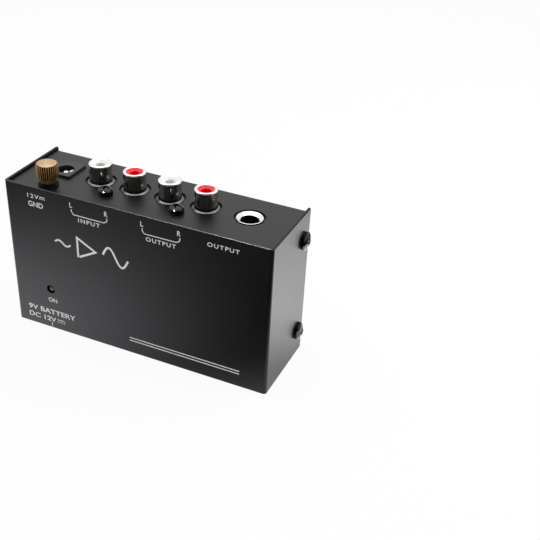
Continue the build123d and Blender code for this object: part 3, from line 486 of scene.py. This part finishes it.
def held(profile):
    """A closed profile with extra points near the ends of its long runs, which then shade flat."""
    points = []
    for start, end in zip(profile, profile[1:] + profile[:1]):
        start, end = Vector(start), Vector(end)
        points.append(start)
        run = end - start
        if run.length > LONG_RUN:
            points.append(start + run * (HOLD / run.length))
            points.append(end - run * (HOLD / run.length))
    return points


def turned(name, node, profile):
    """A round piece: a closed profile of radius and height from the node's top, in millimetres."""
    middle, top_z = centre(node), top(node)
    builder = bmesh.new()
    rings = [
        ring_round(builder, middle, top_z + height * MM, [radius * MM] * TURNED_SIDES)
        for radius, height in held(profile)
    ]
    skin(builder, rings + rings[:1])
    return finished(name, builder, node, "root")


SHELL_RADIUS = 4.15
SHELL_BORE = 3.65
FLANGE_RADIUS = 4.85
FLANGE_LOW = 7.95  # the flange's back below the shell's rim
FOOT_ROUND = 0.25
LIP = 0.55
MOUTH_RADIUS = 3.05
MOUTH_BEVEL = 0.2
INSERT_RADIUS = 3.04
INSERT_BORE = 2.25
INSERT_FIT = 0.05  # to the shell's bore
DISH_RADIUS = 2.7
DISH_DEPTH = 0.8
PIN_HOLE_RADIUS = 1.75
PIN_HOLE_DEPTH = 4.15
shell_profile = [
    (SHELL_BORE, foot("input_left_shell")),
    (SHELL_RADIUS, foot("input_left_shell")),
    (SHELL_RADIUS, -FLANGE_LOW),
    (FLANGE_RADIUS, -FLANGE_LOW),
    *arc(FLANGE_RADIUS - FOOT_ROUND, -FLANGE_DROP - FOOT_ROUND, FOOT_ROUND, 0, 90, steps=5),
    *arc(SHELL_RADIUS + FOOT_ROUND, -FLANGE_DROP + FOOT_ROUND, FOOT_ROUND, 270, 180, steps=5),
    *arc(SHELL_RADIUS - LIP, -LIP, LIP, 0, 90, steps=10),
    (MOUTH_RADIUS, -MOUTH_BEVEL),
    (MOUTH_RADIUS, -LIP),
    (SHELL_BORE, -LIP),
]
insert_profile = [
    (INSERT_BORE, foot("input_left_insert")),
    (SHELL_BORE - INSERT_FIT, foot("input_left_insert")),
    (SHELL_BORE - INSERT_FIT, -LIP),
    (INSERT_RADIUS, -LIP),
    (INSERT_RADIUS, 0.0),
    (DISH_RADIUS, 0.0),
    (PIN_HOLE_RADIUS, -DISH_DEPTH),
    (PIN_HOLE_RADIUS, -PIN_HOLE_DEPTH),
    (INSERT_BORE, -PIN_HOLE_DEPTH),
]
for jack in JACKS:
    turned(f"{jack}_shell_turned", f"{jack}_shell", shell_profile)
    turned(f"{jack}_insert_moulded", f"{jack}_insert", insert_profile)

FERRULE_RADIUS = 4.7
FERRULE_BORE = 3.25
FERRULE_BODY = 4.2
FERRULE_HEAD = 2.0
FERRULE_ROUND = 0.15
FERRULE_LAND = 0.3
FERRULE_BEVEL = 0.9
# painted highlight colour for the ferrule's rounded top and bevel
FERRULE_BRIGHT = (0.86, 0.84, 0.80)
ferrule_profile = [
    (FERRULE_BORE, foot("jack_ferrule")),
    (FERRULE_BODY, foot("jack_ferrule")),
    (FERRULE_BODY, -FERRULE_HEAD),
    (FERRULE_RADIUS, -FERRULE_HEAD),
    *arc(FERRULE_RADIUS - FERRULE_ROUND, -FERRULE_ROUND, FERRULE_ROUND, 0, 90, steps=5),
    (FERRULE_RADIUS - FERRULE_LAND, 0.0),
    (FERRULE_BORE, -FERRULE_BEVEL),
]
ferrule = turned("jack_ferrule_turned", "jack_ferrule", ferrule_profile)
ferrule.data.materials.clear()
ferrule.data.materials.append(
    plating(
        "polished_nickel",
        rim=FERRULE_BRIGHT,
        # painted shade on the ferrule's upright faces and in its bore
        barrel=(0.05, 0.042, 0.03),
        flange=FERRULE_BRIGHT,
        flange_round=FERRULE_BRIGHT,
        flange_top=0.0,
    )
)

# ---------------------------------------------------------------- knurled ground screw
KNURLS = 30
KNURL_STEPS = 12
CREST_FULLNESS = 0.6  # below 1 the grooves are wide and the crests narrow
SCREW_PROFILE = (  # height from the top, crest radius, groove depth
    (0.0, 0.4, 0.0),
    (0.0, 3.46, 0.0),
    (-0.02, 3.54, 0.04),
    (-0.20, 3.84, 0.36),
    (-0.26, KNOB_RADIUS, KNURL_DEPTH),
    (-4.75, KNOB_RADIUS, KNURL_DEPTH),
    (-4.85, 3.86, 0.40),
    (-5.45, 3.10, 0.10),
    (-5.55, 3.02, 0.14),
    (-6.85, 3.02, 0.14),
    (-7.0, 2.95, 0.05),
    (-7.05, 2.6, 0.0),
    (-7.7, 2.6, 0.0),
    (-7.7, 1.95, 0.0),
    (-14.35, 1.95, 0.0),
    (-14.7, 1.6, 0.0),
)


def knurled_screw():
    """The ground thumbscrew: knurls that run out over its bevelled ends, a neck and a stud."""
    middle, top_z = centre("ground_thumbscrew"), top("ground_thumbscrew")
    count = KNURLS * KNURL_STEPS
    sunk = [  # 0 on a crest, 1 in the middle of a groove
        (0.5 - 0.5 * math.cos(KNURLS * (2 * math.pi * i / count))) ** CREST_FULLNESS
        for i in range(count)
    ]
    builder = bmesh.new()
    rings = [
        ring_round(
            builder, middle, top_z + height * MM, [(crest - groove * part) * MM for part in sunk]
        )
        for height, crest, groove in SCREW_PROFILE
    ]
    capped_skin(builder, rings)
    finished("ground_thumbscrew_knurled", builder, "ground_thumbscrew", "ground_screw")


knurled_screw()

# ---------------------------------------------------------------- power inlet's contact
LEAF_WIDTH = 1.8
LEAF_THICK = 0.3
LEAF_ROUND = 0.06
LEAF_PATH = (  # from the bore's wall and from the rim
    (0.0, -5.0),
    (-0.2, -3.4),
    (-0.95, -1.4),
    (-1.45, -0.65),
    (-1.4, -0.42),
    (-1.1, -0.33),
    (-0.2, -0.35),
)


def power_contact():
    """The DC inlet's sleeve spring: a leaf along the bore's wall that curls in and back."""
    low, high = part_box("dc_inlet_spring")
    wall_x = high.x - LEAF_THICK / 2 * MM
    rim_z = top("dc_inlet_body")
    path = [Vector((0.0, (low.z - rim_z) / MM))] + [Vector(point) for point in LEAF_PATH]
    builder = bmesh.new()
    rings = []
    for i, point in enumerate(path):
        before = path[max(0, i - 1)]
        after = path[min(len(path) - 1, i + 1)]
        along = (after - before).normalized()
        across = Vector((-along.y, along.x)) * LEAF_THICK / 2
        corners = []
        for side, edge in ((1, -1), (1, 1), (-1, 1), (-1, -1)):
            corner = point + across * side
            x = wall_x + min(corner.x, 0.0) * MM
            y = (low.y + high.y) / 2 + edge * LEAF_WIDTH / 2 * MM
            corners.append(builder.verts.new((x, y, rim_z + corner.y * MM)))
        rings.append(corners)
    capped_skin(builder, rings)
    bmesh.ops.bevel(
        builder,
        geom=list(builder.edges),
        offset=LEAF_ROUND * MM,
        segments=2,
        affect="EDGES",
        profile=0.5,
    )
    finished("dc_inlet_spring_leaf", builder, "dc_inlet_spring", "root")


power_contact()

# ---------------------------------------------------------------- print on the label face
PRINT_PROUD = 0.015 * MM
PRINT_SUNK = 0.02 * MM
PRINT_THICK = PRINT_PROUD + PRINT_SUNK
SHARPEST_MITRE = 0.3
WAVE_STEPS = 28
label_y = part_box("front_cover")[0].y
print_ink = coated(
    "print_ink", color=(0.80, 0.80, 0.80), roughness=0.45, grain=3000, height=0.004 * MM, vary=0.03
)


def print_piece(name, mesh):
    """A printed shape on the label face, riding on the case."""
    piece = placed(name, mesh)
    mesh.materials.clear()
    mesh.materials.append(print_ink)
    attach(piece, "root")


def thick_print(flat_curve):
    """The mesh of a flat filled curve, given the print's thickness."""
    flat_curve.dimensions = "2D"
    flat_curve.fill_mode = "BOTH"
    flat_curve.extrude = PRINT_THICK / 2
    carrier = placed("carrier", flat_curve)
    bpy.context.view_layer.update()
    evaluated = carrier.evaluated_get(bpy.context.evaluated_depsgraph_get())
    mesh = bpy.data.meshes.new_from_object(evaluated)
    bpy.data.objects.remove(carrier)
    return mesh


def stand_up(mesh):
    """Turns a mesh drawn in X and Y to X and Z, and moves it to the label face."""
    upright = Matrix.Rotation(math.radians(90), 4, "X")
    middle_y = label_y - PRINT_PROUD + PRINT_THICK / 2
    mesh.transform(Matrix.Translation((0, middle_y, 0)) @ upright)
    return mesh


def words(name, text, x, z, weight=0.012, spacing=1.0):
    """Upright lettering that fills a box of the label face, in millimetres of X and Z."""
    font = bpy.data.curves.new(name, "FONT")
    font.body = text
    font.size = 1.0
    font.offset = weight
    font.space_character = spacing
    font.resolution_u = 6
    mesh = thick_print(font)
    xs = [v.co.x for v in mesh.vertices]
    ys = [v.co.y for v in mesh.vertices]
    wide = (x[1] - x[0]) * MM / (max(xs) - min(xs))
    tall = (z[1] - z[0]) * MM / (max(ys) - min(ys))
    for v in mesh.vertices:
        v.co.x = x[0] * MM + (v.co.x - min(xs)) * wide
        v.co.y = z[0] * MM + (v.co.y - min(ys)) * tall
    print_piece(name, stand_up(mesh))


def outline(points, width):
    """The closed outline of a line of that width along points, with mitred corners."""
    points = [Vector(p) for p in points]
    sides = ([], [])
    for i, p in enumerate(points):
        before = (p - points[i - 1]).normalized() if i else (points[1] - p).normalized()
        after = (points[i + 1] - p).normalized() if i + 1 < len(points) else before
        along = (before + after).normalized()
        half_width = width / 2 / max(SHARPEST_MITRE, along.dot(before))
        across = Vector((-along.y, along.x)) * half_width
        sides[0].append(p + across)
        sides[1].append(p - across)
    return sides[0] + sides[1][::-1]


def strokes(name, lines, width):
    """Printed lines through points given in millimetres of X and Z."""
    flat = bpy.data.curves.new(name, "CURVE")
    for line in lines:
        spline = flat.splines.new("POLY")
        corners = outline(line, width)
        spline.points.add(len(corners) - 1)
        for point, corner in zip(spline.points, corners):
            point.co = (corner.x * MM, corner.y * MM, 0, 1)
        spline.use_cyclic_u = True
    print_piece(name, stand_up(thick_print(flat)))


def bars(starts, length, heights):
    """Level lines of one length, from each start at each height."""
    return [[(x, z), (x + length, z)] for x in starts for z in heights]


def wave(left, right, middle, height):
    """One period of a sine, as points."""
    shares = [i / WAVE_STEPS for i in range(WAVE_STEPS + 1)]
    return [
        (left + (right - left) * share, middle + height * math.sin(2 * math.pi * share))
        for share in shares
    ]


LINE = 0.33
FINE_LINE = 0.3
PINSTRIPE = 0.4
WIDE = 1.25  # letter spacing
BOLD = 0.022
words("print_12v", "12V", x=(-42.35, -37.6), z=(54.75, 56.35), spacing=1.3)
strokes("print_12v_dc", bars([-37.3], 2.3, [55.85]), FINE_LINE)
strokes("print_12v_dashes", bars([-37.3, -36.4, -35.55], 0.55, [55.15]), FINE_LINE)
words("print_gnd", "GND", x=(-42.3, -36.1), z=(51.3, 53.4))
# L and R beside each pair of sockets, and the bracket that joins them over the pair's word
for side, left, right in (("input", -22.9, -8.9), ("output", 5.25, 19.25)):
    words(f"print_{side}_l", "L", x=(left - 1.9, left - 0.8), z=(55.0, 56.9))
    words(f"print_{side}_r", "R", x=(right - 1.9, right - 0.6), z=(55.0, 56.9))
    bracket = [
        (left - 1.3, 54.4),
        (left - 1.2, 53.4),
        (left - 0.5, 52.4),
        (right - 2.2, 52.4),
        (right - 1.0, 53.2),
        (right - 0.9, 54.4),
    ]
    strokes(f"print_{side}_bracket", [bracket], LINE)
words("print_input", "INPUT", x=(-21.6, -12.8), z=(49.9, 51.5), spacing=WIDE)
words("print_output", "OUTPUT", x=(5.3, 16.8), z=(49.8, 51.4), spacing=WIDE)
words("print_line_output", "OUTPUT", x=(28.5, 40.2), z=(54.2, 55.8), spacing=WIDE)
words("print_on", "ON", x=(-37.5, -33.7), z=(12.0, 13.8))
words("print_battery", "9V BATTERY", x=(-47.0, -26.05), z=(6.25, 8.45), weight=BOLD)
words("print_dc_12v", "DC 12V", x=(-47.1, -34.9), z=(2.85, 4.95), weight=BOLD)
strokes("print_dc_line", bars([-34.35], 3.4, [4.45]), LINE)
strokes("print_dc_dashes", bars([-34.35, -33.05, -31.75], 0.8, [3.45]), LINE)
strokes("print_switch_tick", [[(-36.95, 0.7), (-36.95, 2.5)]], LINE)

# a small wave, an amplifier's triangle and a large wave, and two lines at the lower right
SYMBOL_Z = 39.4
SYMBOL_LINE = 0.8
SMALL_WAVE_LINE = 0.7
strokes("print_small_wave", [wave(-32.2, -25.7, SYMBOL_Z, 0.9)], SMALL_WAVE_LINE)
triangle = [
    (-22.7, SYMBOL_Z - 4.0),
    (-22.7, SYMBOL_Z + 4.0),
    (-15.3, SYMBOL_Z),
    (-22.1, SYMBOL_Z - 3.7),
]
strokes("print_amplifier", [triangle], SYMBOL_LINE)
strokes("print_large_wave", [wave(-12.3, -2.1, SYMBOL_Z, 3.4)], SYMBOL_LINE)
strokes("print_pinstripes", bars([-2.7], 44.3, [6.8, 5.6]), PINSTRIPE)

# ---------------------------------------------------------------- floor
FLOOR_HALF = 3.0  # metres
FLOOR_COLOR = (0.85, 0.85, 0.85, 1)
SHADOW_SHARE = 0.08  # how much of the shadow the camera sees
CASE_HALF = 52 * MM
BAND_AWAY = (0.48, 0.87, 0)  # the way the lit band runs, away from the right side
BAND_ASIDE = (0.87, -0.48, 0)


def seen_directly(tree):
    """1 for camera, glossy and transmission rays, 0 for the light a diffuse surface gathers."""
    path = tree.add("LightPath").outputs
    total = tree.calc("MAXIMUM", path["Is Camera Ray"], path["Is Glossy Ray"])
    return tree.calc("MAXIMUM", total, path["Is Transmission Ray"])


def pool(tree, middle, inner, outer, strength, edge=0.0, squeeze=1.0):
    """An oval soft pool on the floor: strength within inner, edge beyond outer; millimetres."""
    place = tree.add("NewGeometry").outputs["Position"]
    oval = tree.vector("MULTIPLY", "Vector", place, (1, squeeze, 1))
    centre_point = (middle[0] * MM, middle[1] * squeeze * MM, 0)
    distance = tree.vector("DISTANCE", "Value", oval, centre_point)
    return tree.slope(distance, inner, outer, strength, edge)


def band(tree):
    """The floor's lit band behind the right side: it grows brighter away from the case."""
    place = tree.add("NewGeometry").outputs["Position"]
    away, aside = (
        tree.calc(
            "SUBTRACT",
            tree.vector("DOT_PRODUCT", "Value", place, direction),
            direction[0] * CASE_HALF,
        )
        for direction in (BAND_AWAY, BAND_ASIDE)
    )
    off_middle = tree.calc("ABSOLUTE", aside)
    strength = tree.slope(away, -6, 42, 1.0, 2.8)
    for source, start, end, first, last in (
        (away, -40, -10, 0.0, 1.0),  # near end
        (away, 135, 175, 1.0, 0.0),  # far end
        (off_middle, 30, 60, 1.0, 0.0),  # both sides
        (aside, -28, 28, 0.72, 1.32),  # brighter towards the right
    ):
        limit = tree.slope(source, start, end, first, last)
        strength = tree.calc("MULTIPLY", strength, limit)
    return strength


def floor_material():
    """White where it is seen, apart from the shadow; gloss sees two pools of light on it."""
    material = bpy.data.materials.new("floor")
    tree = Tree(material)
    front_left = pool(tree, (-70, -14), inner=10, outer=125, strength=2.2, squeeze=1.15)
    far = pool(tree, (0, 0), inner=180, outer=600, strength=0.01, edge=1.0)
    pools = tree.calc("ADD", tree.calc("ADD", front_left, band(tree)), far)
    to_camera = tree.add("LightPath").outputs["Is Camera Ray"]
    strength = tree.mix(to_camera, pools, 1.0, "FLOAT")
    diffuse = tree.add("BsdfDiffuse", {"Color": FLOOR_COLOR})
    glow = tree.add("Emission", {"Color": WHITE, "Strength": strength})
    kept_shadow = tree.calc("MULTIPLY", to_camera, SHADOW_SHARE)
    share = tree.calc("SUBTRACT", seen_directly(tree), kept_shadow)
    mix = tree.add(
        "MixShader", {"Fac": share, 1: diffuse.outputs["BSDF"], 2: glow.outputs["Emission"]}
    )
    tree.add("OutputMaterial", {"Surface": mix.outputs["Shader"]})
    return material


floor_mesh = bpy.data.meshes.new("floor")
floor_mesh.from_pydata(
    [(x, y, 0) for x, y in ((-1, -1), (1, -1), (1, 1), (-1, 1))], [], [(0, 1, 2, 3)]
)
floor_mesh.transform(Matrix.Scale(FLOOR_HALF, 4))
floor = placed("floor", floor_mesh)
floor_mesh.materials.append(floor_material())

# ---------------------------------------------------------------- world
FILL_STRENGTH = 0.48
FRONT = Vector((0.42, -0.80, 0.42)).normalized()  # gloss sees a dark room that way
FRONT_DARK = 0.08
FRONT_FADE = (0.25, 0.65)  # cosines of the angle from FRONT between which the room darkens


def fill_world(world):
    """A soft white fill; camera rays see white, and gloss a room that is dark in front."""
    tree = Tree(world)
    soft_fill = tree.add("Background", {"Color": WHITE, "Strength": FILL_STRENGTH})
    direction = tree.add("TexCoord").outputs["Generated"]
    towards_front = tree.vector("DOT_PRODUCT", "Value", direction, FRONT)
    room = tree.ranged(towards_front, *FRONT_FADE, 1.0, FRONT_DARK, "SMOOTHSTEP")
    to_camera = tree.add("LightPath").outputs["Is Camera Ray"]
    strength = tree.calc("MAXIMUM", room, to_camera)
    white_room = tree.add("Background", {"Color": WHITE, "Strength": strength})
    inputs = {
        "Fac": seen_directly(tree),
        1: soft_fill.outputs["Background"],
        2: white_room.outputs["Background"],
    }
    mix = tree.add("MixShader", inputs)
    tree.add("OutputWorld", {"Surface": mix.outputs["Shader"]})


studio = bpy.data.worlds.new("studio")
bpy.context.scene.world = studio
fill_world(studio)


# ---------------------------------------------------------------- lamps
def softbox(name, place, target, width, height, watts):
    """A rectangular area light facing a point; places and sizes in millimetres."""
    light = bpy.data.lights.new(name, "AREA")
    light.shape = "RECTANGLE"
    light.size = width * MM
    light.size_y = height * MM
    light.energy = watts
    lamp = placed(name, light)
    position = Vector(place) * MM
    aim = (Vector(target) * MM - position).to_track_quat("-Z", "Y")
    lamp.matrix_world = Matrix.Translation(position) @ aim.to_matrix().to_4x4()
    return lamp


STRIP_LIT = ("front_cover", "cover_screws", "rca_block_screws")
softbox("top_softbox", (-60, 60, 600), target=(0, 0, 30), width=900, height=700, watts=2.9)
right_softbox = softbox(
    "right_softbox", (330, 210, 170), target=(52, 0, 40), width=320, height=260, watts=0.8
)
right_softbox.visible_glossy = False
front_strip = softbox(
    "front_strip", (-72, -190, 395), target=(30, -17, 59), width=110, height=48, watts=5.0
)
front_strip.visible_diffuse = False
strip_lit = bpy.data.collections.new("lit_by_front_strip")
for node in STRIP_LIT:
    strip_lit.objects.link(nodes[node])
front_strip.light_linking.receiver_collection = strip_lit

# ---------------------------------------------------------------- camera
FRAME = 540  # pixels
FOCAL = 931.5  # pixels
CENTRE_X, CENTRE_Y = 250, 290  # where the lens axis meets the frame, in pixels
SENSOR = 36.0  # millimetres
NEAR_CLIP = 0.01  # metres
CAMERA_PLACE = (145.40, -253.19, 209.58)
ELEVATION, AZIMUTH, ROLL = math.radians(33.17), math.radians(23.18), math.radians(2.47)

camera_data = bpy.data.cameras.new("camera")
camera_data.sensor_width = SENSOR
camera_data.lens = FOCAL / FRAME * SENSOR
camera_data.shift_x = (FRAME / 2 - CENTRE_X) / FRAME
camera_data.shift_y = (CENTRE_Y - FRAME / 2) / FRAME
camera_data.clip_start = NEAR_CLIP
camera = placed("camera", camera_data)
camera.rotation_euler = (
    Matrix.Rotation(AZIMUTH, 3, "Z")
    @ Matrix.Rotation(math.pi / 2 - ELEVATION, 3, "X")
    @ Matrix.Rotation(ROLL, 3, "Z")
).to_euler()
camera.location = Vector(CAMERA_PLACE) * MM
bpy.context.scene.camera = camera

bpy.context.scene.view_settings.view_transform = "Standard"
